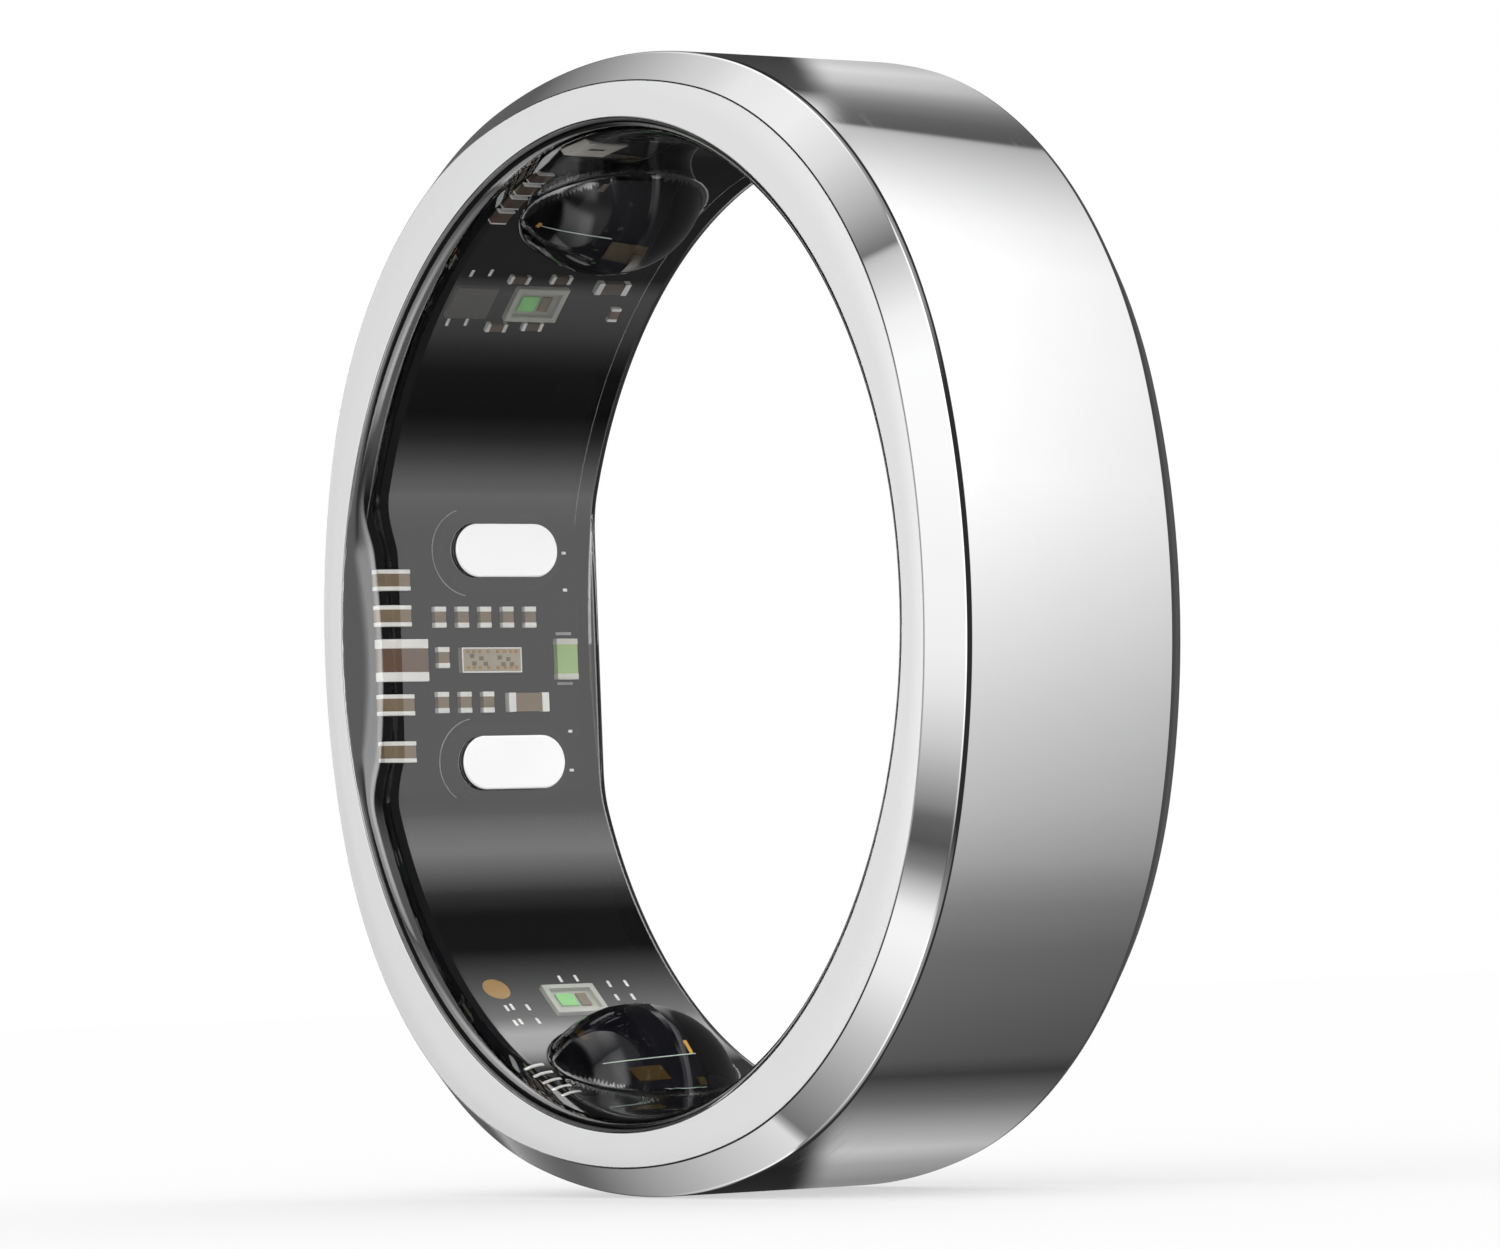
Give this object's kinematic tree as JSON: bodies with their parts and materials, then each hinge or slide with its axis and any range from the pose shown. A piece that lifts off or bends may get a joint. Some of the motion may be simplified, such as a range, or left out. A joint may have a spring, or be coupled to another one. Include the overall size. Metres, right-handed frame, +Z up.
{
  "type": "smart ring",
  "caption": "Finger ring with a polished metal band and a clear resin lining over a curved circuit board, battery, light sensors and two charging contacts.",
  "frame": {"origin": "middle of the finger bore, at the middle of the ring's width, which is the centre of the ring's box", "axes": "+Y along the ring's axis, away from the front edge; +Z up with the ring standing on its band; -X is the side with the charging contacts"},
  "size_m": [0.0254, 0.0068, 0.0254],
  "materials": {
    "polished_shell": "mirror-polished band and chamfers, fine satin side faces",
    "clear_resin": "water-clear cast resin, glossy, rounded lips",
    "black_potting": "black casting resin, seen only through the clear resin",
    "board_black": "black flexible board with a satin solder mask",
    "cell_foil": "dark grey pouch foil",
    "tape": "thin amber adhesive tape",
    "nickel": "thin nickel strip",
    "board_green": "small rigid board with green solder mask",
    "contact_plate": "smooth bright plated contact",
    "collar": "dark collar under the resin",
    "cap_ceramic": "matt tan fired ceramic",
    "cap_ends": "tinned metal ends",
    "inductor_body": "matt red-brown fired ceramic",
    "antenna_body": "pale green glazed ceramic",
    "antenna_ends": "white metallised ends",
    "chip_die": "bare grey-brown chip with fine printed tracks",
    "gold": "gold plating",
    "power_chip": "smooth grey-green chip",
    "led_case": "off-white package",
    "led_die": "green light die beside a bronze one",
    "photodiode": "near-black coated sensor",
    "sensor_case": "off-white ceramic case",
    "dark_chip": "dark moulded chip"
  },
  "bodies": {
    "root": {"outer_shell": "polished_shell", "clear_resin": "clear_resin", "black_potting": "black_potting", "flex_board": "board_black", "battery_cell": "cell_foil", "battery_tape": "tape", "battery_tabs": "nickel", "protection_board": "board_green", "protection_chips": "dark_chip", "bridge_strips": "nickel", "upper_contact": "contact_plate", "lower_contact": "contact_plate", "contact_collars": "collar", "small_capacitor_bodies": "cap_ceramic", "small_capacitor_ends": "cap_ends", "edge_capacitor_bodies": "cap_ceramic", "edge_capacitor_ends": "cap_ends", "power_inductor": "inductor_body", "power_inductor_ends": "cap_ends", "bulk_capacitor": "cap_ceramic", "bulk_capacitor_ends": "cap_ends", "signal_chip": "chip_die", "signal_chip_pads": "gold", "chip_antenna": "antenna_body", "chip_antenna_ends": "antenna_ends", "sensor_capacitor_bodies": "inductor_body", "sensor_capacitor_ends": "cap_ends", "supply_capacitor": "inductor_body", "supply_capacitor_ends": "cap_ends", "sense_resistor": "inductor_body", "sense_resistor_ends": "cap_ends", "power_chip": "power_chip", "upper_led_package": "led_case", "lower_led_package": "led_case", "upper_led_dies": "led_die", "lower_led_dies": "led_die", "upper_photodiode": "photodiode", "lower_photodiode": "photodiode", "photodiode_pads": "gold", "surface_sensor": "sensor_case", "surface_sensor_window": "dark_chip", "temperature_chip": "dark_chip", "processor_chip": "dark_chip", "motion_chip": "dark_chip", "charger_chip": "dark_chip", "crystal": "nickel", "test_pads": "cap_ends", "gold_pad": "gold", "solder_bars": "cap_ends"}
  },
  "joints": []
}
